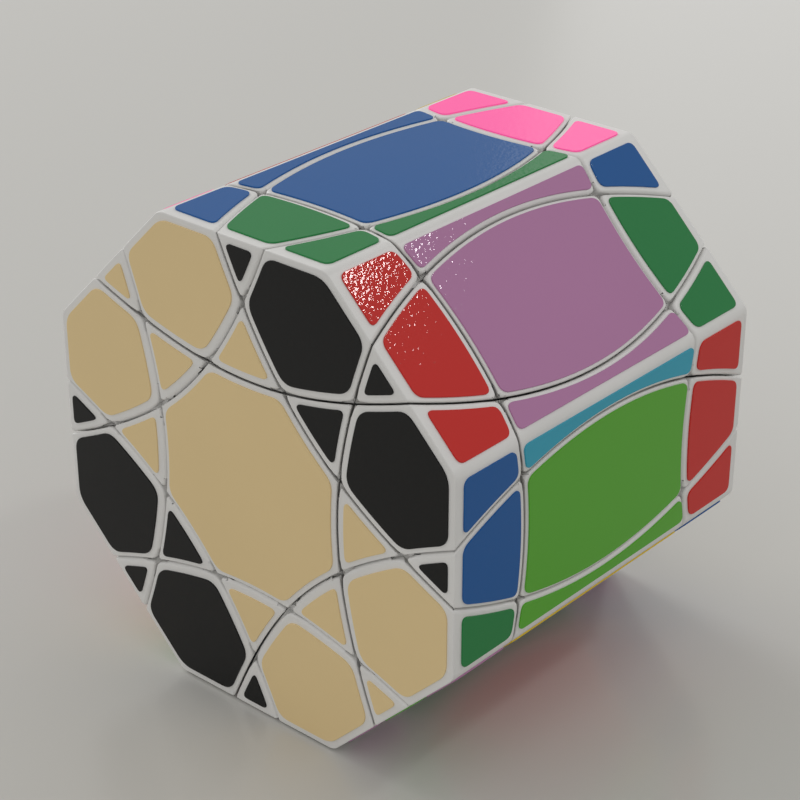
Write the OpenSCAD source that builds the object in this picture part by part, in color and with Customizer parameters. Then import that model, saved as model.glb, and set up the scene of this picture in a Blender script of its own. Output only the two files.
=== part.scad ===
// Octagonal prism turning puzzle: ten faces, two turning end layers and
// eight turning side layers, all held on one core by sprung screws.
// The prism axis is Y. Side face 0 points up (+Z), faces count clockwise
// seen from the front (-Y) end, so face 2 points to +X and face 4 is down.

/* [Body] */
// Distance between opposite side faces, without stickers
across_flats = 66; // [50:0.5:80]
// Length between the two end faces, without stickers
body_length = 59; // [40:0.5:80]
// Size of the softened outer edges
edge_round = 1.6; // [0.4:0.1:2.5]

/* [Cuts] */
// Distance of the flat part of an end cut from the centre
end_plane = 15.3; // [12:0.1:20]
// Radius where an end cut starts to slope outwards
end_flat_radius = 31; // [28:0.1:34]
// Distance of the flat part of a side cut from the centre
cut_plane = 14.3; // [12:0.1:18]
// Radius where a side cut starts to slope outwards
cut_flat_radius = 28.6; // [24:0.1:32]
// Rise of the sloping part of a cut, per mm of radius
cut_slope = 0.584; // [0.3:0.01:0.9]
// Clearance between neighbouring pieces
gap = 0.24; // [0.1:0.02:0.5]

/* [Interlock] */
// Mean radius of the inner ring tongue, width and depth
inner_ring = [11.9, 1.4, 1.3];
// Mean radius of the outer ring tongue, width and depth
outer_ring = [24.2, 1.6, 2];
// Mean radius of the ring tongue of an end layer, width and depth
end_ring = [26.5, 2, 1.6];
// Hub of a side layer: radius and distance of its floor from the centre
side_hub = [3.4, 9.5];
// Hub of an end layer: radius and distance of its floor from the centre
end_hub = [4.6, 10.5];

/* [Anchors] */
// Screw shank radius
shank_radius = 1.1; // [0.8:0.05:1.5]
// Screw head radius
head_radius = 2.3; // [1.8:0.05:2.6]
// Screw head height
head_height = 1.2; // [0.8:0.1:2]
// Thickness of the hub floor under the spring
hub_floor = 1.4; // [1:0.1:2]
// Length of the pressed spring
spring_length = 3.6; // [3:0.1:5]
// Spring wire radius
spring_wire = 0.32; // [0.2:0.02:0.4]
// Thickness of the washer
washer_height = 0.4; // [0.3:0.05:0.8]
// Thickness of the cover on an end centre
cover_height = 1.8; // [1.2:0.1:3]

/* [Stickers] */
// Sticker thickness
sticker_height = 0.2; // [0.1:0.05:0.5]
// Sticker edge to the middle of a cut
sticker_rim = 0.75; // [0.4:0.05:2]
// Sticker edge to a sharp outer edge of the body
sticker_margin = 1.1; // [0.6:0.1:3]

/* [Hidden] */
$fn = 64;
far = 60;
top_z = 50;
apothem = across_flats / 2;
corner_r = apothem / cos(22.5);
half = body_length / 2;
half_side = apothem * tan(22.5);
lift = apothem + sticker_height;
steep = sqrt(1 + cut_slope * cut_slope);
white = [0.86, 0.86, 0.85];
steel = [0.62, 0.63, 0.65];
vinyl = [0.30, 0.42, 0.62];
all_sides = [0, 1, 2, 3, 4, 5, 6, 7];
any_end = 9;
// Odd side layers are this much wider, so that no four surfaces share a point
stagger = 0.06;

// ---------------------------------------------------------------- helpers

// A tongue of a ring, as three corner points of a lathe outline
function tongue(ring, plane, e) = [
    [ring[0] - ring[1] / 2 + e, plane + e],
    [ring[0] - ring[1] / 2 + e, plane - ring[2] + e],
    [ring[0] + ring[1] / 2 - e, plane - ring[2] + e],
    [ring[0] + ring[1] / 2 - e, plane + e]
];

// The sloping outer part of a cut, e is the distance kept from it
function slope_end(plane, radius, e) = [
    [radius + e * (1 - steep) / cut_slope, plane + e],
    [far, plane + (far - radius) * cut_slope + e * steep],
    [far, top_z], [0, top_z]
];

// Everything side layer i takes, as a lathe outline (radius, height)
function side_outline(i, e) = let (d = (i + 8) % 2 * stagger) concat(
    [[0, side_hub[1] + e], [side_hub[0] - e, side_hub[1] + e],
     [side_hub[0] - e, cut_plane + e]],
    tongue(inner_ring + [d, 0, 0], cut_plane, e),
    tongue(outer_ring + [d, 0, 0], cut_plane, e),
    slope_end(cut_plane, cut_flat_radius + d, e));

// Everything an end layer takes, as a lathe outline (radius, height)
function end_outline(e) = concat(
    [[0, end_hub[1] + e], [end_hub[0] - e, end_hub[1] + e],
     [end_hub[0] - e, end_plane + e]],
    tongue(end_ring, end_plane, e), slope_end(end_plane, end_flat_radius, e));

// Turn something made along +Z to side i
module to_side(i) rotate([0, 45 * i, 0]) children();

// Turn something made along +Z to the front (s = -1) or the back (s = 1)
module to_end(s) rotate([-90 * s, 0, 0]) children();

module side_layer(i, e) to_side(i) rotate_extrude() polygon(side_outline(i, e));

module end_layer(s, e) to_end(s) rotate_extrude() polygon(end_outline(e));

// Plain forms of the same layers, for the stickers
module side_zone(i, e) to_side(i) rotate_extrude()
    polygon(concat([[0, cut_plane + e]], slope_end(cut_plane, cut_flat_radius, e)));

module end_zone(s, e) to_end(s) rotate_extrude()
    polygon(concat([[0, end_plane + e]], slope_end(end_plane, end_flat_radius, e)));

// The outline of the whole body, with softened edges
module body() {
    c = edge_round * tan(22.5);
    intersection() {
        rotate([90, 0, 0]) linear_extrude(height = body_length, center = true)
            polygon([for (k = [0 : 7], s = [-1, 1]) let (a = 22.5 + 45 * k)
                corner_r * [cos(a), sin(a)] + c * [cos(a + s * 112.5), sin(a + s * 112.5)]]);
        taper(-1, edge_round * 0.5);
        taper(1, edge_round * 0.5);
    }
}

// An octagonal stub that narrows at 45 degrees towards end s
module taper(s, c) to_end(s) translate([0, 0, -half]) rotate(22.5)
    cylinder(r1 = corner_r + (body_length - c) / cos(22.5),
        r2 = corner_r - c / cos(22.5), h = body_length, $fn = 8);

// One piece: inside the listed side layers, outside the others,
// inside end layer s, or between the two end layers when s is 0
module piece(inside, outside, s) difference() {
    intersection() {
        body();
        if (len(inside) > 0) side_layer(inside[0], gap / 2);
        if (len(inside) > 1) side_layer(inside[1], gap / 2);
        if (len(inside) > 2) side_layer(inside[2], gap / 2);
        if (s != 0) end_layer(s, gap / 2);
    }
    for (i = outside) side_layer(i, -gap / 2);
    if (s == 0) for (k = [-1, 1]) end_layer(k, -gap / 2);
}

// A tongue stops short of the place where the next ring would cross it:
// this is what goes, beyond x0 on side d of side layer i
module tongue_stop(i, d, x0) to_side(i) translate([d > 0 ? x0 : -x0 - 20, -far, 5])
    cube([20, 2 * far, cut_plane + gap / 2 - 5]);

module panel(i) piece([i - 1, i, i + 1], [i - 2, i + 2], 0);
module edge(i) piece([i, i + 1], [i - 1, i + 2], 0);
module keystone(i, s) piece([i - 1, i, i + 1], [i - 2, i + 2], s);
module wedge(i, s) difference() {
    piece([i], [i - 1, i + 1], s);
    for (d = [-1, 1]) tongue_stop(i, d, 5.7);
}
module corner(i, s) difference() {
    piece([i, i + 1], [i - 1, i + 2], s);
    tongue_stop(i, 1, 12.2);
    tongue_stop(i + 1, -1, 12.2);
}

// ---------------------------------------------------------------- anchors

spring_foot = side_hub[1] + gap / 2 + hub_floor;
end_foot = end_hub[1] + gap / 2 + hub_floor;

// Hole for a screw with a wide bore for its spring and head, along +Z
module screw_bore(foot) {
    translate([0, 0, -1]) cylinder(r = shank_radius + 0.08, h = foot + 2);
    translate([0, 0, foot]) cylinder(r = head_radius + 0.3, h = top_z);
}

module screw(foot) translate([0, 0, foot + spring_length + washer_height + 0.04]) {
    translate([0, 0, foot > end_hub[1] ? -12 : -10])
        cylinder(r = shank_radius, h = foot > end_hub[1] ? 12.01 : 10.01);
    difference() {
        cylinder(r = head_radius, h = head_height);
        for (a = [0, 90]) rotate(a) translate([-1.3, -0.25, head_height - 0.6])
            cube([2.6, 0.5, 1]);
    }
}

module spring(foot) translate([0, 0, foot + 0.02]) rotate_extrude() {
    turns = 5;
    rise = (spring_length - 2 * spring_wire - 0.02) / turns;
    for (k = [0 : turns]) translate([1.75, spring_wire + k * rise])
        circle(r = spring_wire * 1.02, $fn = 24);
}

module washer(foot) translate([0, 0, foot + spring_length + 0.02]) difference() {
    cylinder(r = head_radius, h = washer_height);
    translate([0, 0, -1]) cylinder(r = shank_radius + 0.08, h = 3);
}

module side_anchor(i) difference() {
    piece([i], [i - 1, i + 1], 0);
    for (d = [-1, 1]) tongue_stop(i, d, 5.7);
    to_side(i) screw_bore(spring_foot);
}

module end_centre(s) difference() {
    piece([], all_sides, s);
    to_end(s) {
        screw_bore(end_foot);
        translate([0, 0, half - cover_height - 4]) cylinder(r = 7.2, h = 20);
        translate([-far, -far, half - cover_height]) cube([2 * far, 2 * far, 20]);
    }
}

module end_cover(s) {
    intersection() {
        piece([], all_sides, s);
        to_end(s) translate([-far, -far, half - cover_height + 0.02])
            cube([2 * far, 2 * far, 20]);
    }
    to_end(s) translate([0, 0, half - cover_height - 3])
        cylinder(r = 7.16, h = 3.5);
}

// The socket and ring groove that a side layer cuts in the core, along +Z
module core_socket() {
    e = gap / 2;
    translate([0, 0, side_hub[1] - e]) cylinder(r = side_hub[0] + e, h = 20);
    translate([0, 0, cut_plane - inner_ring[2] - e]) difference() {
        cylinder(r = inner_ring[0] + inner_ring[1] / 2 + e, h = 20);
        translate([0, 0, -1]) cylinder(r = inner_ring[0] - inner_ring[1] / 2 - e, h = 22);
    }
    translate([0, 0, 4]) cylinder(r = shank_radius, h = 20);
}

module core_body() difference() {
    rotate([90, 0, 0]) rotate(22.5) cylinder(r = (cut_plane - gap / 2) / cos(22.5),
        h = 2 * end_plane - gap, center = true, $fn = 8);
    for (i = all_sides) to_side(i) core_socket();
    for (s = [-1, 1]) to_end(s) {
        translate([0, 0, end_hub[1] - gap / 2]) cylinder(r = end_hub[0] + gap / 2, h = 20);
        translate([0, 0, 4.2]) cylinder(r = shank_radius, h = 20);
        for (k = [0 : 7]) rotate(22.5 + 45 * k) translate([9.2, 0, 8.5])
            cylinder(r = 2, h = 20);
    }
}

// --------------------------------------------------------------- stickers

// A thin sheet lying on side face i
module side_sheet(i) to_side(i) translate([sticker_margin - half_side,
    sticker_margin - half, apothem])
    cube([2 * (half_side - sticker_margin), 2 * (half - sticker_margin), sticker_height]);

// A thin sheet lying on the front or back face
module end_sheet(s) to_end(s) translate([0, 0, half]) rotate(22.5)
    cylinder(r = corner_r - sticker_margin / cos(22.5), h = sticker_height, $fn = 8);

// Trim a sheet to one piece, s as for a piece or any_end to leave the ends alone
module trim(inside, outside, s) difference() {
    intersection() {
        children();
        if (len(inside) > 0) side_zone(inside[0], sticker_rim);
        if (len(inside) > 1) side_zone(inside[1], sticker_rim);
        if (s == -1 || s == 1) end_zone(s, sticker_rim);
    }
    for (i = outside) side_zone(i, -sticker_rim);
    if (s == 0) for (k = [-1, 1]) end_zone(k, -sticker_rim);
}

module panel_sticker(i) trim([i - 1, i + 1], [], 0) side_sheet(i);
module edge_stickers(i) {
    trim([], [i - 1], 0) intersection() { side_sheet(i); half_space(i, 1); }
    trim([], [i + 2], 0) intersection() { side_sheet(i + 1); half_space(i + 1, -1); }
}
module corner_stickers(i, s) {
    trim([i, i + 1], [i - 1, i + 2], any_end) end_sheet(s);
    trim([], [i - 1], s) intersection() { side_sheet(i); half_space(i, 1); }
    trim([], [i + 2], s) intersection() { side_sheet(i + 1); half_space(i + 1, -1); }
}
module wedge_sticker(i, s) trim([i], [i - 1, i + 1], any_end) end_sheet(s);
module keystone_stickers(i, s) {
    trim([i - 1, i + 1], [], any_end) end_sheet(s);
    trim([i - 1, i + 1], [], s) side_sheet(i);
}
module centre_sticker(s) trim([], all_sides, any_end) end_sheet(s);

// The clockwise (d = 1) or anticlockwise (d = -1) half of side face i
module half_space(i, d) to_side(i)
    translate([d > 0 ? 0 : -far, -far, 0]) cube([far, 2 * far, far]);

// ------------------------------------------------------------------ nodes

module place() translate([0, 0, lift]) children();

module core() color(white) place() core_body();
module anchor_screws() color(steel) place() {
    for (i = all_sides) to_side(i) screw(spring_foot);
    for (s = [-1, 1]) to_end(s) screw(end_foot);
}
module anchor_springs() color(steel) place() {
    for (i = all_sides) to_side(i) spring(spring_foot);
    for (s = [-1, 1]) to_end(s) spring(end_foot);
}
module anchor_washers() color(steel) place() {
    for (i = all_sides) to_side(i) washer(spring_foot);
    for (s = [-1, 1]) to_end(s) washer(end_foot);
}
module side_anchors() color(white) place()
    for (i = [1, 2, 3, 5, 6, 7]) side_anchor(i);
module panel_right() color(white) place() panel(2);
module panel_left() color(white) place() panel(6);
module edge_right_upper() color(white) place() edge(1);
module edge_right_lower() color(white) place() edge(2);
module edge_left_lower() color(white) place() edge(5);
module edge_left_upper() color(white) place() edge(6);
module middle_stickers() color(vinyl) place() {
    for (i = [2, 6]) panel_sticker(i);
    for (i = [1, 2, 5, 6]) edge_stickers(i);
}

module anchor_top() color(white) place() side_anchor(0);
module panel_top() color(white) place() panel(0);
module panel_top_right() color(white) place() panel(1);
module panel_top_left() color(white) place() panel(7);
module edge_top_right() color(white) place() edge(0);
module edge_top_left() color(white) place() edge(7);
module top_stickers() color(vinyl) place() {
    for (i = [7, 0, 1]) panel_sticker(i);
    for (i = [7, 0]) edge_stickers(i);
}

module anchor_bottom() color(white) place() side_anchor(4);
module panel_bottom() color(white) place() panel(4);
module panel_bottom_right() color(white) place() panel(3);
module panel_bottom_left() color(white) place() panel(5);
module edge_bottom_right() color(white) place() edge(3);
module edge_bottom_left() color(white) place() edge(4);
module bottom_stickers() color(vinyl) place() {
    for (i = [3, 4, 5]) panel_sticker(i);
    for (i = [3, 4]) edge_stickers(i);
}

// The end layers: the ring pieces that stay with the end centre
module ring_wedges(s) color(white) place() for (i = [1, 2, 3, 5, 6, 7]) wedge(i, s);
module ring_corners(s) color(white) place() for (i = [1, 2, 5, 6]) corner(i, s);
module ring_keystones(s) color(white) place() for (i = [2, 6]) keystone(i, s);
module ring_stickers(s) color(vinyl) place() {
    centre_sticker(s);
    for (i = [1, 2, 3, 5, 6, 7]) wedge_sticker(i, s);
    for (i = [1, 2, 5, 6]) corner_stickers(i, s);
    for (i = [2, 6]) keystone_stickers(i, s);
}

// The end pieces that also belong to side layer m
module shared_wedge(m, s) color(white) place() wedge(m, s);
module shared_corners(m, s) color(white) place() for (i = [m - 1, m]) corner(i, s);
module shared_keystones(m, s) color(white) place()
    for (i = [m - 1, m, m + 1]) keystone(i, s);
module shared_stickers(m, s) color(vinyl) place() {
    wedge_sticker(m, s);
    for (i = [m - 1, m]) corner_stickers(i, s);
    for (i = [m - 1, m, m + 1]) keystone_stickers(i, s);
}

module front_centre() color(white) place() end_centre(-1);
module front_cover() color(white) place() end_cover(-1);
module front_wedges() ring_wedges(-1);
module front_corners() ring_corners(-1);
module front_keystones() ring_keystones(-1);
module front_stickers() ring_stickers(-1);
module front_top_wedge() shared_wedge(0, -1);
module front_top_corners() shared_corners(0, -1);
module front_top_keystones() shared_keystones(0, -1);
module front_top_stickers() shared_stickers(0, -1);
module front_bottom_wedge() shared_wedge(4, -1);
module front_bottom_corners() shared_corners(4, -1);
module front_bottom_keystones() shared_keystones(4, -1);
module front_bottom_stickers() shared_stickers(4, -1);

module back_centre() color(white) place() end_centre(1);
module back_cover() color(white) place() end_cover(1);
module back_wedges() ring_wedges(1);
module back_corners() ring_corners(1);
module back_keystones() ring_keystones(1);
module back_stickers() ring_stickers(1);
module back_top_wedge() shared_wedge(0, 1);
module back_top_corners() shared_corners(0, 1);
module back_top_keystones() shared_keystones(0, 1);
module back_top_stickers() shared_stickers(0, 1);
module back_bottom_wedge() shared_wedge(4, 1);
module back_bottom_corners() shared_corners(4, 1);
module back_bottom_keystones() shared_keystones(4, 1);
module back_bottom_stickers() shared_stickers(4, 1);

// ------------------------------------------------------------------ output

core();
anchor_screws();
anchor_springs();
anchor_washers();
side_anchors();
panel_right();
panel_left();
edge_right_upper();
edge_right_lower();
edge_left_lower();
edge_left_upper();
middle_stickers();
anchor_top();
panel_top();
panel_top_right();
panel_top_left();
edge_top_right();
edge_top_left();
top_stickers();
anchor_bottom();
panel_bottom();
panel_bottom_right();
panel_bottom_left();
edge_bottom_right();
edge_bottom_left();
bottom_stickers();
front_centre();
front_cover();
front_wedges();
front_corners();
front_keystones();
front_stickers();
front_top_wedge();
front_top_corners();
front_top_keystones();
front_top_stickers();
front_bottom_wedge();
front_bottom_corners();
front_bottom_keystones();
front_bottom_stickers();
back_centre();
back_cover();
back_wedges();
back_corners();
back_keystones();
back_stickers();
back_top_wedge();
back_top_corners();
back_top_keystones();
back_top_stickers();
back_bottom_wedge();
back_bottom_corners();
back_bottom_keystones();
back_bottom_stickers();
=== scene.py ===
# %% [markdown]
# # A turning puzzle shaped like an octagonal prism
#
# The frame is a packed mechanical model: every piece that you see here sits on
# one of its bodies and turns with it. This first step loads that frame.

# %% Load the frame
import bpy, bmesh, math
from mathutils import Matrix, Vector


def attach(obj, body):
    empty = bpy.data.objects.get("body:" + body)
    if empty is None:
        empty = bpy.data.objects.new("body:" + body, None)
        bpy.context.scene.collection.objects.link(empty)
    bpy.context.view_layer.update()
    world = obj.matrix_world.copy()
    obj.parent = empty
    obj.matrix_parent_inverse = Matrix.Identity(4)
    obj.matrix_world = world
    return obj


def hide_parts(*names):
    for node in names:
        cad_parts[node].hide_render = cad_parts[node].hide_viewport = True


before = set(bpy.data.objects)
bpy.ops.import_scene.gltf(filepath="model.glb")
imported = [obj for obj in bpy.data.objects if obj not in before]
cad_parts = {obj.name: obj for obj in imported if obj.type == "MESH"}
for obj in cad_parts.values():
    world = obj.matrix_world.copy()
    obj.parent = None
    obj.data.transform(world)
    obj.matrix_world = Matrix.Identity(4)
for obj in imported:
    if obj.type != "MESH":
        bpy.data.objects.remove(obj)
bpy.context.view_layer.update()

# %% [markdown]
# ## Sizes
#
# All sizes are in millimetres and turned into metres at the very end of each
# piece. The prism lies on one of its eight side faces with its axis along Y.
# Side face 0 looks up, and the faces count clockwise as seen from the front.

# %% Sizes of the body and its cuts
FLATS, LENGTH = 66.0, 59.0
APOTHEM, HALF = FLATS / 2, LENGTH / 2
CORNER = APOTHEM / math.cos(math.radians(22.5))
SIDE = APOTHEM * math.tan(math.radians(22.5))
FOIL = 0.2
LIFT = APOTHEM + FOIL
GAP = 0.24
SLOPE = 0.584
STEEP = math.hypot(1, SLOPE)
CUT, CUT_R = 14.3, 28.6
END, END_R = 15.3, 31.0
SIDE_HUB_R, SIDE_HUB_FLOOR = 3.4, 9.5
END_HUB_R, END_HUB_FLOOR = 4.6, 10.5
INNER_RING, OUTER_RING = (11.9, 1.4, 1.3), (24.2, 1.6, 2)
END_RING = (26.5, 2, 1.6)
OUTSIDE = 60
LONG_EDGE, END_RIM_EDGE = 0.75, 0.85
print(f"corner radius {CORNER:.2f}, half side {SIDE:.2f}")

# %% [markdown]
# ## The seams
#
# A layer can only turn if its seam is a surface of revolution about its own
# axis. So each cutting tool is a lathe form: a short outline of radius and
# height, spun about Z by `bmesh.ops.spin` and then tipped over to its side
# of the prism. The outline has the ring tongues that keep the pieces in, each
# given as its mean radius, width and depth.
# `e` moves the outline out of the layer (positive) or into the rest
# (negative): half the working gap on each side of the seam.

# %% Outlines of the two kinds of seam
def tongue(r, w, d, plane, e):
    a, b = r - w / 2 + e, r + w / 2 - e
    return [(a, plane + e), (a, plane - d + e), (b, plane - d + e), (b, plane + e)]

def slope_end(plane, r, e):
    return [(r + e * (1 - STEEP) / SLOPE, plane + e),
            (OUTSIDE, plane + (OUTSIDE - r) * SLOPE + e * STEEP), (OUTSIDE, 50), (0, 50)]

def side_outline(e, plain=False):
    floor, wall = SIDE_HUB_FLOOR + e, SIDE_HUB_R - e
    hub = [(0, floor), (wall, floor), (wall, CUT + e)]
    rings = tongue(*INNER_RING, CUT, e) + tongue(*OUTER_RING, CUT, e)
    return ([(0, CUT + e)] if plain else hub + rings) + slope_end(CUT, CUT_R, e)

def end_outline(e, plain=False):
    floor, wall = END_HUB_FLOOR + e, END_HUB_R - e
    hub = [(0, floor), (wall, floor), (wall, END + e)]
    ring = tongue(*END_RING, END, e)
    return ([(0, END + e)] if plain else hub + ring) + slope_end(END, END_R, e)

print("side seam:", len(side_outline(0)), "points, end seam:", len(end_outline(0)))

# %% Placing helpers
def to_side(i):
    return Matrix.Rotation(math.radians(45 * i), 4, "Y")

def to_end(s):
    return Matrix.Rotation(math.radians(-90 * s), 4, "X")

def lathe(outline, place, steps=128):
    bm = bmesh.new()
    line = [bm.verts.new((r, 0, z)) for r, z in outline]
    edges = [bm.edges.new(pair) for pair in zip(line, line[1:])]
    bmesh.ops.spin(bm, geom=line + edges, cent=(0, 0, 0), axis=(0, 0, 1), dvec=(0, 0, 0),
                   angle=math.tau, steps=steps, use_merge=True, use_duplicate=False)
    bmesh.ops.remove_doubles(bm, verts=bm.verts, dist=1e-4)
    bmesh.ops.recalc_face_normals(bm, faces=bm.faces)
    bm.transform(place)
    return bm

# %% [markdown]
# ## Cutting
#
# A Boolean modifier does the cutting. One helper puts two bmeshes in scratch
# objects, runs the manifold solver and hands back the result as a bmesh, so that
# the rest of the script never has to think about objects.

# %% Boolean helper
def to_mesh(bm, name):
    mesh = bpy.data.meshes.new(name)
    bm.to_mesh(mesh)
    bm.free()
    return mesh

def scratch(bm):
    obj = bpy.data.objects.new("scratch", to_mesh(bm, "scratch"))
    bpy.context.collection.objects.link(obj)
    return obj

def cut(bm, tool, how):
    a, b = scratch(bm), scratch(tool)
    mod = a.modifiers.new("cut", "BOOLEAN")
    mod.object, mod.operation, mod.solver = b, how, "MANIFOLD"
    got = a.evaluated_get(bpy.context.evaluated_depsgraph_get())
    out = bmesh.new()
    out.from_mesh(got.to_mesh())
    got.to_mesh_clear()
    for obj in (a, b):
        mesh = obj.data
        bpy.data.objects.remove(obj)
        bpy.data.meshes.remove(mesh)
    return out

def keep_largest(bm):
    left, best = set(bm.verts), []
    while left:
        island, todo = [], [left.pop()]
        while todo:
            v = todo.pop()
            island.append(v)
            for edge in v.link_edges:
                other = edge.other_vert(v)
                if other in left:
                    left.remove(other)
                    todo.append(other)
        if len(island) > len(best):
            best = island
    keep = set(best)
    bmesh.ops.delete(bm, geom=[v for v in bm.verts if v not in keep], context="VERTS")
    return bm

def carve(bm, inside, outside, s, e, plain=False):
    steps = 192 if plain else 128
    for i in inside:
        bm = cut(bm, lathe(side_outline(e, plain), to_side(i), steps), "INTERSECT")
    if s:
        bm = cut(bm, lathe(end_outline(e, plain), to_end(s), steps), "INTERSECT")
    for i in outside:
        bm = cut(bm, lathe(side_outline(-e, plain), to_side(i), steps), "DIFFERENCE")
    if s == 0:
        for k in (-1, 1):
            bm = cut(bm, lathe(end_outline(-e, plain), to_end(k), steps), "DIFFERENCE")
    return keep_largest(bm)

# %% [markdown]
# ## The blank
#
# Every piece comes out of the same blank: an octagonal prism with softened
# edges. A circle of eight vertices is extruded, its long edges are rounded
# with a radius of about 1.8 mm and the rims of the two ends with about 0.9 mm,
# as the mould does it.

# %% The blank prism
def blank():
    bm = bmesh.new()
    bmesh.ops.create_circle(bm, cap_ends=True, segments=8, radius=CORNER,
                            matrix=Matrix.Rotation(math.radians(22.5), 4, "Z"))
    grown = bmesh.ops.extrude_face_region(bm, geom=bm.faces[:])
    top = [v for v in grown["geom"] if isinstance(v, bmesh.types.BMVert)]
    bmesh.ops.translate(bm, verts=top, vec=(0, 0, LENGTH))
    bmesh.ops.translate(bm, verts=bm.verts, vec=(0, 0, -HALF))
    bmesh.ops.recalc_face_normals(bm, faces=bm.faces)
    def soften(edges, width, segments):
        bmesh.ops.bevel(bm, geom=edges, offset=width, segments=segments, profile=0.5,
                        affect="EDGES", clamp_overlap=True, material=-1)
    soften([x for x in bm.edges if abs(x.verts[0].co.z - x.verts[1].co.z) > 1],
           LONG_EDGE, 4)
    soften([x for x in bm.edges if abs(abs(x.verts[0].co.z) - HALF) < 1e-4
            and abs(abs(x.verts[1].co.z) - HALF) < 1e-4
            and any(abs(f.normal.z) < 0.5 for f in x.link_faces)], END_RIM_EDGE, 4)
    bm.transform(Matrix.Rotation(math.radians(90), 4, "X"))
    return bm

test = blank()
print("blank:", len(test.verts), "vertices,", len(test.faces), "faces")
test.free()

# %% [markdown]
# ## Outlines and their corners
#
# A face of a cut piece has a smooth outline with a few sharp corners where two
# seams cross. `outline` reads it from the mesh. `corners` finds the sharp ones
# and walks the same way along the outline on both sides of each, and `arc`
# joins the two ends with a curve that is drawn towards the old corner. It is
# used twice: the die that cuts a sticker has such corners, and so has the
# mould of a piece.

# %% Outline helpers
def outline(bm, up):
    bm.normal_update()
    flat = [f for f in bm.faces if f.normal.dot(up) > 0.9999]
    level = max((f.calc_center_median().dot(up) for f in flat), default=0)
    flat = [f for f in flat if abs(f.calc_center_median().dot(up) - level) < 0.01]
    rim = {}
    for f in flat:
        for loop in f.loops:
            if not any(g in flat for g in loop.edge.link_faces if g != f):
                rim[loop.vert] = loop.link_loop_next.vert
    start = next(iter(rim))
    points, v = [], start
    while True:
        if not points or (v.co - points[-1]).length > 0.02:
            points.append(v.co.copy())
        v = rim.pop(v)
        if v == start:
            return points

def walk(points, i, step, far):
    here = points[i]
    while True:
        i = (i + step) % len(points)
        leg = (points[i] - here).length
        if leg >= far:
            return here.lerp(points[i], far / leg), i
        far, here = far - leg, points[i]

def corners(points, far, least=25):
    found = []
    for i, p in enumerate(points):
        a, last = walk(points, i, -1, far)
        b, first = walk(points, i, 1, far)
        before, after = walk(points, i, -1, 0.25)[0], walk(points, i, 1, 0.25)[0]
        turn = math.degrees((p - before).angle(after - p))
        if turn > least:
            found.append((turn, i, a, last, b, first))
    sharp = []
    for turn, i, a, last, b, first in sorted(found, reverse=True, key=lambda c: c[0]):
        if all((points[i] - points[k[0]]).length > 0.3 for k in sharp):
            sharp.append((i, a, last, b, first))
    return sorted(sharp, key=lambda c: c[0])

def arc(a, corner, b, steps=6):
    return [a.lerp(corner, k / steps).lerp(corner.lerp(b, k / steps), k / steps)
            for k in range(steps + 1)]

def rounded(points, far):
    sharp = corners(points, far)
    if not sharp:
        return points[:]
    out = []
    for n, (i, a, last, b, first) in enumerate(sharp):
        out += arc(a, points[i], b)
        stop = sharp[(n + 1) % len(sharp)][2]
        k = first
        while k != (stop + 1) % len(points):
            out.append(points[k])
            k = (k + 1) % len(points)
    return [p for k, p in enumerate(out) if (p - out[k - 1]).length > 0.03]

# %% [markdown]
# ## Rounding the seams
#
# Moulded pieces have a small radius along every edge that fingers can feel,
# and a larger one in plan where two seams cross. A short prism takes each
# crossing corner off in plan. Then the edges on the outside are rounded: those
# that are sharp and lie close to the surface of the blank. The tongues inside
# stay crisp.

# %% Round the outer edges of a piece
SKINS = [(to_side(i).to_3x3() @ Vector((0, 0, 1)), APOTHEM) for i in (7, 0, 1)]
SKINS.append((Vector((0, -1, 0)), HALF))

def trim_corners(bm, ups, far=1.15, depth=1.3):
    tools = []
    for up in ups:
        points = outline(bm, up)
        for i, a, last, b, first in corners(points, far, 30):
            p = points[i]
            on_edge = sum(abs(p.dot(n) - h) < 1.0 for n, h in SKINS) > 1
            near_rim = on_edge or abs(p.y) > HALF - 1.0
            on_side = any(p.dot(n) > h - 1.0 for n, h in SKINS[:3])
            if near_rim and not (up.y and not on_side):
                continue
            away = (p - (a + b) / 2).normalized() * 0.6
            ring = arc(a, p, b) + [b + away * 1.2, p + away, a + away * 1.2]
            tools.append((ring, up))
    for ring, up in tools:
        tool = bmesh.new()
        face = tool.faces.new([tool.verts.new(q + up * 0.5) for q in ring])
        grown = bmesh.ops.extrude_face_region(tool, geom=[face])
        down = [v for v in grown["geom"] if isinstance(v, bmesh.types.BMVert)]
        bmesh.ops.translate(tool, verts=down, vec=-up * (depth + 0.5))
        bmesh.ops.recalc_face_normals(tool, faces=tool.faces)
        bm = cut(bm, tool, "DIFFERENCE")
    return bm

def near_skin(p, depth=0.3):
    on_end = HALF - abs(p.y) < depth
    reach = max(p.x * math.sin(math.radians(45 * i)) + p.z * math.cos(math.radians(45 * i))
                for i in range(8))
    return on_end or APOTHEM - reach < depth

def round_seams(bm, width=0.35, segments=3):
    bmesh.ops.remove_doubles(bm, verts=bm.verts, dist=0.03)
    bmesh.ops.dissolve_degenerate(bm, edges=bm.edges, dist=0.01)
    bm.normal_update()
    sharp = [x for x in bm.edges if len(x.link_faces) == 2
             and x.calc_face_angle(0) > math.radians(35)
             and near_skin(x.verts[0].co) and near_skin(x.verts[1].co)]
    before = bm.copy()
    bmesh.ops.bevel(bm, geom=sharp, offset=width, segments=segments, profile=0.5,
                    affect="EDGES", clamp_overlap=False, material=-1)
    return keep_largest(cut(bm, before, "INTERSECT"))

# %% [markdown]
# ## The six kinds of piece
#
# The puzzle has 66 visible pieces of only six kinds. Five are cut and rounded
# here, one of each, at the top or at the front; the others are turned copies.
# The sixth, the end centre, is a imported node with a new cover. On corners and
# wedges a tongue would run too far along its seam and catch on a turning layer,
# so a box cuts it off there.

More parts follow.
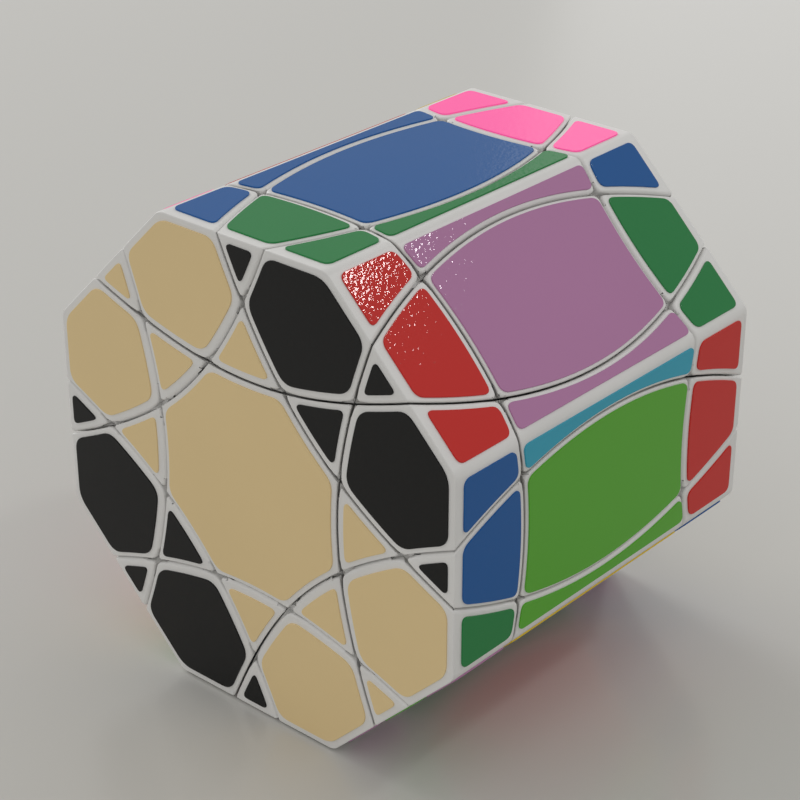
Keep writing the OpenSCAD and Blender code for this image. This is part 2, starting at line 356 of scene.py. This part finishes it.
# %% Cut one of each kind
OVER = [to_side(i).to_3x3() @ Vector((0, 0, 1)) for i in (0, 1)]
FRONT = Vector((0, -1, 0))

def stop_tongue(bm, i, x0, x1):
    low, high = 5, CUT + GAP / 2
    box = bmesh.new()
    bmesh.ops.create_cube(box, size=1, matrix=to_side(i)
                          @ Matrix.Translation(((x0 + x1) / 2, 0, (low + high) / 2))
                          @ Matrix.Diagonal((x1 - x0, 120, high - low, 1)))
    return keep_largest(cut(bm, box, "DIFFERENCE"))

def make_kind(inside, outside, s, ups, stops=()):
    bm = carve(blank(), inside, outside, s, GAP / 2)
    for stop in stops:
        bm = stop_tongue(bm, *stop)
    bm = round_seams(trim_corners(bm, ups))
    return to_mesh(bm, "kind")

KINDS = {
    "panel": make_kind([7, 0, 1], [6, 2], 0, OVER[:1]),
    "edge": make_kind([0, 1], [7, 2], 0, OVER),
    "corner": make_kind([0, 1], [7, 2], -1, OVER + [FRONT],
                        [(0, 12.2, 32), (1, -32, -12.2)]),
    "keystone": make_kind([7, 0, 1], [6, 2], -1, OVER[:1] + [FRONT]),
    "wedge": make_kind([0], [7, 1], -1, [FRONT], [(0, 5.7, 26), (0, -26, -5.7)]),
}
for name, mesh in KINDS.items():
    print(name, len(mesh.vertices), "vertices")

# %% [markdown]
# ## Placing copies
#
# A kind is cut once, at side 0 and at the front. A turn about Y takes it to
# another side. Half a turn about its own axis of symmetry takes it to the back
# end: straight up for keystones and wedges, half way between two side faces
# for corners. Corners and edges sit between side i and side i + 1.

# %% Where a copy goes
def seat(kind, i, s):
    turn = Matrix.Identity(4)
    if s == 1:
        lean = 22.5 if kind == "corner" else 0
        tilt = Matrix.Rotation(math.radians(lean), 4, "Y")
        turn = tilt @ Matrix.Rotation(math.radians(180), 4, "Z") @ tilt.inverted()
    return Matrix.Translation((0, 0, LIFT)) @ to_side(i) @ turn

MM = Matrix.Scale(0.001, 4)

def finish_piece(name, bm, material):
    mesh = to_mesh(bm, name)
    mesh.transform(MM)
    mesh.shade_smooth()
    mesh.set_sharp_from_angle(angle=math.radians(40))
    mesh.materials.append(material)
    obj = bpy.data.objects.new(name, mesh)
    bpy.context.collection.objects.link(obj)
    mod = obj.modifiers.new("even shading", "WEIGHTED_NORMAL")
    mod.keep_sharp = True
    return obj

def gather(copies):
    bm = bmesh.new()
    for mesh, place in copies:
        part = bmesh.new()
        part.from_mesh(mesh)
        part.transform(place)
        spare = bpy.data.meshes.new("spare")
        part.to_mesh(spare)
        part.free()
        bm.from_mesh(spare)
        bpy.data.meshes.remove(spare)
    return bm

# %% [markdown]
# ## Materials
#
# Colours are written as the hex values that a paint program shows. One
# function turns them to the linear values that a shader needs, and one adds a
# node with its settings and links.

# %% Material helpers
def linear(hex_colour):
    parts = [int(hex_colour[k:k + 2], 16) / 255 for k in (1, 3, 5)]
    return [c / 12.92 if c <= 0.04045 else ((c + 0.055) / 1.055) ** 2.4 for c in parts] + [1]

def add(tree, kind, **inputs):
    node = tree.nodes.new("ShaderNode" + kind)
    for key, value in inputs.items():
        socket = node.inputs[key.replace("_", " ")]
        if isinstance(value, bpy.types.NodeSocket):
            tree.links.new(value, socket)
        else:
            socket.default_value = value
    return node

def new_material(name, **shader):
    mat = bpy.data.materials.new(name)
    mat.use_nodes = True
    tree = mat.node_tree
    tree.nodes.clear()
    bsdf = add(tree, "BsdfPrincipled", **shader)
    add(tree, "OutputMaterial", Surface=bsdf.outputs[0])
    place = add(tree, "TexCoord").outputs["Object"]
    return mat, tree, bsdf, place

# %% [markdown]
# ### Moulded white ABS
#
# The pieces are injection-moulded ABS, coloured white right through. The mould
# is spark-eroded, which leaves a fine grain: the eye sees a satin surface with
# a soft, slightly broken highlight, not a glossy one. The grain of the real
# mould, about 0.1 mm, is drawn at 0.25 mm so that it shows.

# %% White plastic
WHITE, tree, bsdf, place = new_material(
    "moulded white ABS", Base_Color=linear("#E6E5E3"), Roughness=0.42, IOR=1.53)
grain = add(tree, "TexNoise", Vector=place, Scale=4000.0, Detail=2.0, Roughness=0.6)
cloud = add(tree, "TexNoise", Vector=place, Scale=60.0, Detail=3.0)
tint = add(tree, "ValToRGB", Fac=cloud.outputs["Fac"])
for stop, place_on_ramp, colour in zip(tint.color_ramp.elements, (0.3, 0.7),
                                       ("#E2E1DF", "#E9E8E6")):
    stop.position, stop.color = place_on_ramp, linear(colour)
tree.links.new(tint.outputs["Color"], bsdf.inputs["Base Color"])
sheen = add(tree, "MapRange", Value=cloud.outputs["Fac"], To_Min=0.36, To_Max=0.48)
tree.links.new(sheen.outputs["Result"], bsdf.inputs["Roughness"])
bump = add(tree, "Bump", Strength=0.25, Distance=0.00003, Height=grain.outputs["Fac"])
tree.links.new(bump.outputs["Normal"], bsdf.inputs["Normal"])
print(WHITE.name)

# %% [markdown]
# ### Vinyl stickers
#
# The colours are die-cut vinyl foil: an even colour under a thin, smoother
# skin. Where a lamp is mirrored at a low angle, the skin shows the orange peel
# of the foil as bright crumbs, so its bump has a grain of about 0.5 mm with one
# of half that size inside it. The pink is a fluorescent foil: it gives back
# more red than falls on it, and this is drawn as a faint painted glow, an
# emission in its own colour that comes from no lamp.

# %% Vinyl foils
FOILS = {"tan": "#EAD09C", "black": "#121212", "green": "#248244", "blue": "#185B9F",
         "red": "#CF2B25", "purple": "#B981AC", "pink": "#FF60A8", "lime": "#5CAE30",
         "teal": "#38A5BF", "yellow": "#E6C630"}

def vinyl(colour):
    mat, tree, bsdf, place = new_material(
        colour + " vinyl foil", Base_Color=linear(FOILS[colour]), Roughness=0.45, IOR=1.5)
    bsdf.inputs["Specular IOR Level"].default_value = 0.05
    bsdf.inputs["Coat Weight"].default_value = 0.45
    bsdf.inputs["Coat Roughness"].default_value = 0.04
    # Painted glow: the pink foil emits a little light of its own colour, standing in for its
    # fluorescence.
    if colour == "pink":
        bsdf.inputs["Emission Color"].default_value = linear(FOILS[colour])
        bsdf.inputs["Emission Strength"].default_value = 0.25
    peel = add(tree, "TexNoise", Vector=place, Scale=1900.0, Detail=1.0, Roughness=0.5)
    fade = add(tree, "TexNoise", Vector=place, Scale=45.0, Detail=2.0)
    shade = add(tree, "MapRange", Value=fade.outputs["Fac"], To_Min=0.97, To_Max=1.03)
    hue = add(tree, "HueSaturation", Value=shade.outputs["Result"], Color=linear(FOILS[colour]))
    tree.links.new(hue.outputs["Color"], bsdf.inputs["Base Color"])
    bump = add(tree, "Bump", Strength=1.0, Distance=0.000026, Height=peel.outputs["Fac"])
    tree.links.new(bump.outputs["Normal"], bsdf.inputs["Coat Normal"])
    return mat

VINYL = {colour: vinyl(colour) for colour in FOILS}
print(len(VINYL), "foils")

# %% [markdown]
# ### Steel inside
#
# The screws and washers are zinc-plated, the springs bare drawn wire. They lie
# inside and are never seen, but they get their own metal all the same.

# %% Steel
def steel(name, colour, rough, scale):
    mat, tree, bsdf, place = new_material(
        name, Base_Color=linear(colour), Metallic=1.0, Roughness=rough)
    haze = add(tree, "TexNoise", Vector=place, Scale=scale, Detail=4.0)
    sheen = add(tree, "MapRange", Value=haze.outputs["Fac"],
                To_Min=rough - 0.08, To_Max=rough + 0.1)
    tree.links.new(sheen.outputs["Result"], bsdf.inputs["Roughness"])
    bump = add(tree, "Bump", Strength=0.2, Distance=0.00002, Height=haze.outputs["Fac"])
    tree.links.new(bump.outputs["Normal"], bsdf.inputs["Normal"])
    return mat

ZINC = steel("zinc-plated steel", "#BFC2C6", 0.34, 900.0)
WIRE = steel("drawn spring wire", "#A9A8A6", 0.28, 2500.0)

# %% Materials on the hidden pieces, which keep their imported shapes
hidden = {"anchor_screws": ZINC, "anchor_washers": ZINC, "anchor_springs": WIRE}
for name in ("core", "side_anchors", "anchor_top", "anchor_bottom", "front_centre",
             "back_centre"):
    hidden[name] = WHITE
for name, mat in hidden.items():
    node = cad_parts[name]
    node.data.materials.clear()
    node.data.materials.append(mat)
print(len(hidden), "hidden nodes")

# %% [markdown]
# ## The pieces on their bodies
#
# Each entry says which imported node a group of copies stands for, on which body
# it rides, and where its copies sit.

# %% White pieces
PIECES = {
    "middle": {"panel_right": ("panel", [2]), "panel_left": ("panel", [6]),
               "edge_right_upper": ("edge", [1]), "edge_right_lower": ("edge", [2]),
               "edge_left_lower": ("edge", [5]), "edge_left_upper": ("edge", [6])},
    "top_layer": {"panel_top": ("panel", [0]), "panel_top_right": ("panel", [1]),
                  "panel_top_left": ("panel", [7]), "edge_top_right": ("edge", [0]),
                  "edge_top_left": ("edge", [7])},
    "bottom_layer": {"panel_bottom": ("panel", [4]), "panel_bottom_right": ("panel", [3]),
                     "panel_bottom_left": ("panel", [5]), "edge_bottom_right": ("edge", [3]),
                     "edge_bottom_left": ("edge", [4])},
}
for end in ("front", "back"):
    PIECES[end + "_layer"] = {end + "_wedges": ("wedge", [1, 2, 3, 5, 6, 7]),
                              end + "_corners": ("corner", [1, 2, 5, 6]),
                              end + "_keystones": ("keystone", [2, 6])}
    for side, m in (("top", 0), ("bottom", 4)):
        body = end + "_" + side
        PIECES[body] = {body + "_wedge": ("wedge", [m]),
                        body + "_corners": ("corner", [(m + 7) % 8, m]),
                        body + "_keystones": ("keystone", [(m + 7) % 8, m, m + 1])}

for body, groups in PIECES.items():
    s = 1 if body.startswith("back") else -1
    for node, (kind, sides) in groups.items():
        bm = gather([(KINDS[kind], seat(kind, i, s)) for i in sides])
        piece = finish_piece(node + "_shell", bm, WHITE)
        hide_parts(node)
        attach(piece, body)
print("white pieces:", sum(len(p[1]) for g in PIECES.values() for p in g.values()))

# %% [markdown]
# ## End covers
#
# Each end centre is a cup that holds the screw, closed by a thin cover. The
# cover is the centre piece cut off just under the end face, and it has a plug
# that snaps into the cup.

# %% Covers
COVER_DEPTH = 1.78
PLUG_R, PLUG_LENGTH, PLUG_AT = 7.16, 3, 3.3

def cover():
    bm = carve(blank(), [], range(8), -1, GAP / 2)
    faces = bm.verts[:] + bm.edges[:] + bm.faces[:]
    split = bmesh.ops.bisect_plane(bm, geom=faces, plane_co=(0, COVER_DEPTH - HALF, 0),
                                   plane_no=(0, 1, 0), clear_outer=True)
    rim = [x for x in split["geom_cut"] if isinstance(x, bmesh.types.BMEdge)]
    bmesh.ops.holes_fill(bm, edges=rim, sides=0)
    bm = round_seams(bm)
    bmesh.ops.create_cone(bm, cap_ends=True, segments=64, radius1=PLUG_R, radius2=PLUG_R,
                          depth=PLUG_LENGTH, matrix=Matrix.Translation((0, PLUG_AT - HALF, 0))
                          @ Matrix.Rotation(math.radians(90), 4, "X"))
    return to_mesh(bm, "cover")

COVER = cover()
for end, s in (("front", -1), ("back", 1)):
    piece = finish_piece(end + "_cover_shell", gather([(COVER, seat("wedge", 0, s))]), WHITE)
    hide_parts(end + "_cover")
    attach(piece, end + "_layer")
print("cover:", len(COVER.vertices), "vertices")

# %% [markdown]
# ## Stickers
#
# A sticker is a thin sheet on one face of the blank, trimmed by the same seams
# as the piece under it but further in, so that a white rim is left. Its upright
# corner edges are then rounded, as a cutting die does, and last its upper rim.

# %% Sheets on a side face and on the front face
EDGE_MARGIN, END_MARGIN = 0.95, 1.45

def side_sheet(i, half=0):
    x0, x1 = (-1, 1) if half == 0 else (0, 1) if half == 1 else (-1, 0)
    bm = bmesh.new()
    bmesh.ops.create_cube(bm, size=1)
    a, b = x0 * (SIDE - EDGE_MARGIN), x1 * (SIDE - EDGE_MARGIN)
    bmesh.ops.scale(bm, verts=bm.verts, vec=(b - a, LENGTH - 2 * END_MARGIN, FOIL))
    bmesh.ops.translate(bm, verts=bm.verts, vec=((a + b) / 2, 0, APOTHEM + FOIL / 2))
    bm.transform(to_side(i))
    return bm

def front_sheet():
    bm = bmesh.new()
    r = CORNER - EDGE_MARGIN / math.cos(math.radians(22.5))
    bmesh.ops.create_cone(bm, cap_ends=True, segments=8, radius1=r, radius2=r, depth=FOIL,
                          matrix=Matrix.Rotation(math.radians(22.5), 4, "Z"))
    bm.transform(Matrix.Translation((0, -HALF - FOIL / 2, 0))
                 @ Matrix.Rotation(math.radians(90), 4, "X"))
    return bm

def trim(sheet, inside, outside, s, rim, up, radius=1.1):
    bm = carve(sheet, inside, outside, s, rim, plain=True)
    edge = rounded(outline(bm, up), radius)
    bm.free()
    bm = bmesh.new()
    face = bm.faces.new([bm.verts.new(p - up * FOIL) for p in edge])
    grown = bmesh.ops.extrude_face_region(bm, geom=[face])
    top = [v for v in grown["geom"] if isinstance(v, bmesh.types.BMVert)]
    bmesh.ops.translate(bm, verts=top, vec=up * FOIL)
    bmesh.ops.recalc_face_normals(bm, faces=bm.faces)
    bm.normal_update()
    rims = [x for x in bm.edges if all(v in set(top) for v in x.verts)]
    bmesh.ops.bevel(bm, geom=rims, offset=0.06, segments=2, profile=0.5,
                    affect="EDGES", clamp_overlap=False, material=-1)
    return to_mesh(bm, "foil")

# %% Cut the kinds of sticker
RIM, END_RIM, WAIST_RIM, PANEL_RIM = 0.74, 0.92, 0.52, 0.66
STICKERS = {
    "panel": [trim(side_sheet(0), [7, 1], [], 0, PANEL_RIM, OVER[0], 1.2)],
    "edge": [trim(side_sheet(0, 1), [], [7], 0, WAIST_RIM, OVER[0], 1.1),
             trim(side_sheet(1, -1), [], [2], 0, WAIST_RIM, OVER[1], 1.1)],
    "corner": [trim(front_sheet(), [0, 1], [7, 2], None, END_RIM, FRONT, 1.5),
               trim(side_sheet(0, 1), [], [7], -1, RIM, OVER[0]),
               trim(side_sheet(1, -1), [], [2], -1, RIM, OVER[1])],
    "keystone": [trim(front_sheet(), [7, 1], [], None, END_RIM, FRONT, 0.95),
                 trim(side_sheet(0), [7, 1], [], -1, RIM, OVER[0])],
    "wedge": [trim(front_sheet(), [0], [7, 1], None, END_RIM, FRONT, 1.15)],
    "centre": [trim(front_sheet(), [], range(8), None, END_RIM, FRONT, 1.4)],
}
print("sticker kinds:", sum(len(s) for s in STICKERS.values()))

# %% [markdown]
# ## The scramble
#
# The colours are mixed. Each corner, edge and keystone carries a set of colours
# that occurs only once, and no corner is the mirror image of a real one. The
# order itself is chosen, not worked out by turning a solved puzzle. For an edge
# the list gives the foil on side i, then on side i + 1; a corner and a keystone
# start with the foil on the end face.

# %% Colours of every piece
PANEL = dict(enumerate("blue purple lime red yellow pink green teal".split()))
EDGE = {0: "green purple", 1: "purple teal", 2: "lime yellow", 3: "green red",
        4: "pink blue", 5: "yellow pink", 6: "teal lime", 7: "red blue"}
CORNER_FOILS = {
    -1: {7: "tan pink blue", 0: "black green red", 1: "black red blue", 2: "tan green purple",
         3: "tan purple teal", 4: "black yellow lime", 5: "black lime teal", 6: "tan teal lime"},
    1: {7: "black yellow pink", 0: "black pink blue", 1: "tan green red", 2: "tan red blue",
        3: "black purple teal", 4: "black green purple", 5: "tan yellow lime",
        6: "tan pink yellow"}}
KEYSTONE = {
    -1: {0: "black green", 1: "black red", 2: "black blue", 3: "tan lime",
         4: "black pink", 5: "black yellow", 6: "black purple", 7: "tan teal"},
    1: {0: "tan pink", 1: "tan green", 2: "tan red", 3: "tan blue",
        4: "tan yellow", 5: "tan purple", 6: "black lime", 7: "black teal"}}
WEDGE = {-1: dict(enumerate("tan black tan tan tan black tan tan".split())),
         1: dict(enumerate("black tan black black black tan black black".split()))}

def foils(kind, i, s):
    if kind == "panel":
        return [PANEL[i]]
    if kind == "edge":
        return EDGE[i].split()
    if kind == "wedge":
        return [WEDGE[s][i]]
    return (CORNER_FOILS if kind == "corner" else KEYSTONE)[s][i].split()

# %% Lay the stickers
count = 0
for body, groups in PIECES.items():
    s = 1 if body.startswith("back") else -1
    by_colour = {}
    for kind, sides in groups.values():
        for i in sides:
            names = foils(kind, i, s)
            meshes = STICKERS[kind]
            if kind == "corner" and s == 1:
                meshes = [meshes[0], meshes[2], meshes[1]]
            for mesh, colour in zip(meshes, names):
                by_colour.setdefault(colour, []).append((mesh, seat(kind, i, s)))
    if body in ("front_layer", "back_layer"):
        colour = "tan" if s == -1 else "black"
        by_colour.setdefault(colour, []).append((STICKERS["centre"][0], seat("wedge", 0, s)))
    for colour, copies in by_colour.items():
        node = body.replace("_layer", "") + "_stickers"
        piece = finish_piece(f"{node}_{colour}", gather(copies), VINYL[colour])
        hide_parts(node)
        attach(piece, body)
        count += len(copies)
print("stickers:", count)

# %% [markdown]
# ## Table, light and camera
#
# The puzzle lies on a pale, slightly glossy table that mirrors it softly.

# %% Table
TABLE, tree, bsdf, place = new_material(
    "pale lacquered table", Base_Color=linear("#CCCBC7"), Roughness=0.2, IOR=1.5)
haze = add(tree, "TexNoise", Vector=place, Scale=3.0, Detail=2.0)
tone = add(tree, "MapRange", Value=haze.outputs["Fac"], To_Min=0.17, To_Max=0.23)
tree.links.new(tone.outputs["Result"], bsdf.inputs["Roughness"])
bpy.ops.mesh.primitive_plane_add(size=8)
table = bpy.context.object
table.name = "table"
table.data.materials.append(TABLE)

# %% Soft studio light
def softbox(name, where, size, power, target=(0, 0, 0.033), size_y=None):
    light = bpy.data.lights.new(name, "AREA")
    light.shape, light.size, light.size_y = "RECTANGLE", size, size_y or size
    light.energy = power
    lamp = bpy.data.objects.new(name, light)
    lamp.location = where
    lamp.rotation_euler = (Vector(target) - Vector(where)).to_track_quat("-Z", "Y").to_euler()
    bpy.context.collection.objects.link(lamp)

world = bpy.data.worlds.new("studio")
bpy.context.scene.world = world
world.use_nodes = True
world.node_tree.nodes["Background"].inputs["Color"].default_value = linear("#FFFEFC")
world.node_tree.nodes["Background"].inputs["Strength"].default_value = 0.56
softbox("far wall", (-0.2, 1.6, 0.5), 1.8, 2.7, size_y=0.9)
softbox("left wall", (-0.95, 0.1, 0.45), 0.6, 3.8)
softbox("low front", (0.15, -0.95, 0.15), 0.5, 0.6, size_y=0.3)
softbox("lamp", (0.32, 0.495, 0.585), 0.065, 0.5)

# %% Camera
CENTRE = Vector((0, 0, LIFT / 1000))
AZ, EL, DISTANCE = 41.08, 27.4, 0.2857
SENSOR, LENS = 36, 97.4115
SHIFT_X, SHIFT_Y = -0.0194, 0.0148
az, el = math.radians(AZ), math.radians(EL)
back = Vector((math.sin(az) * math.cos(el), -math.cos(az) * math.cos(el), math.sin(el)))
right = Vector((0, 0, 1)).cross(back).normalized()
upward = back.cross(right)
data = bpy.data.cameras.new("camera")
data.sensor_width = SENSOR
data.lens = LENS
camera = bpy.data.objects.new("camera", data)
scale = CORNER / 1000
camera.location = CENTRE + back * DISTANCE + right * SHIFT_X * scale + upward * SHIFT_Y * scale
camera.rotation_euler = back.to_track_quat("Z", "Y").to_euler()
bpy.context.collection.objects.link(camera)
bpy.context.scene.camera = camera
bpy.context.scene.view_settings.view_transform = "Standard"
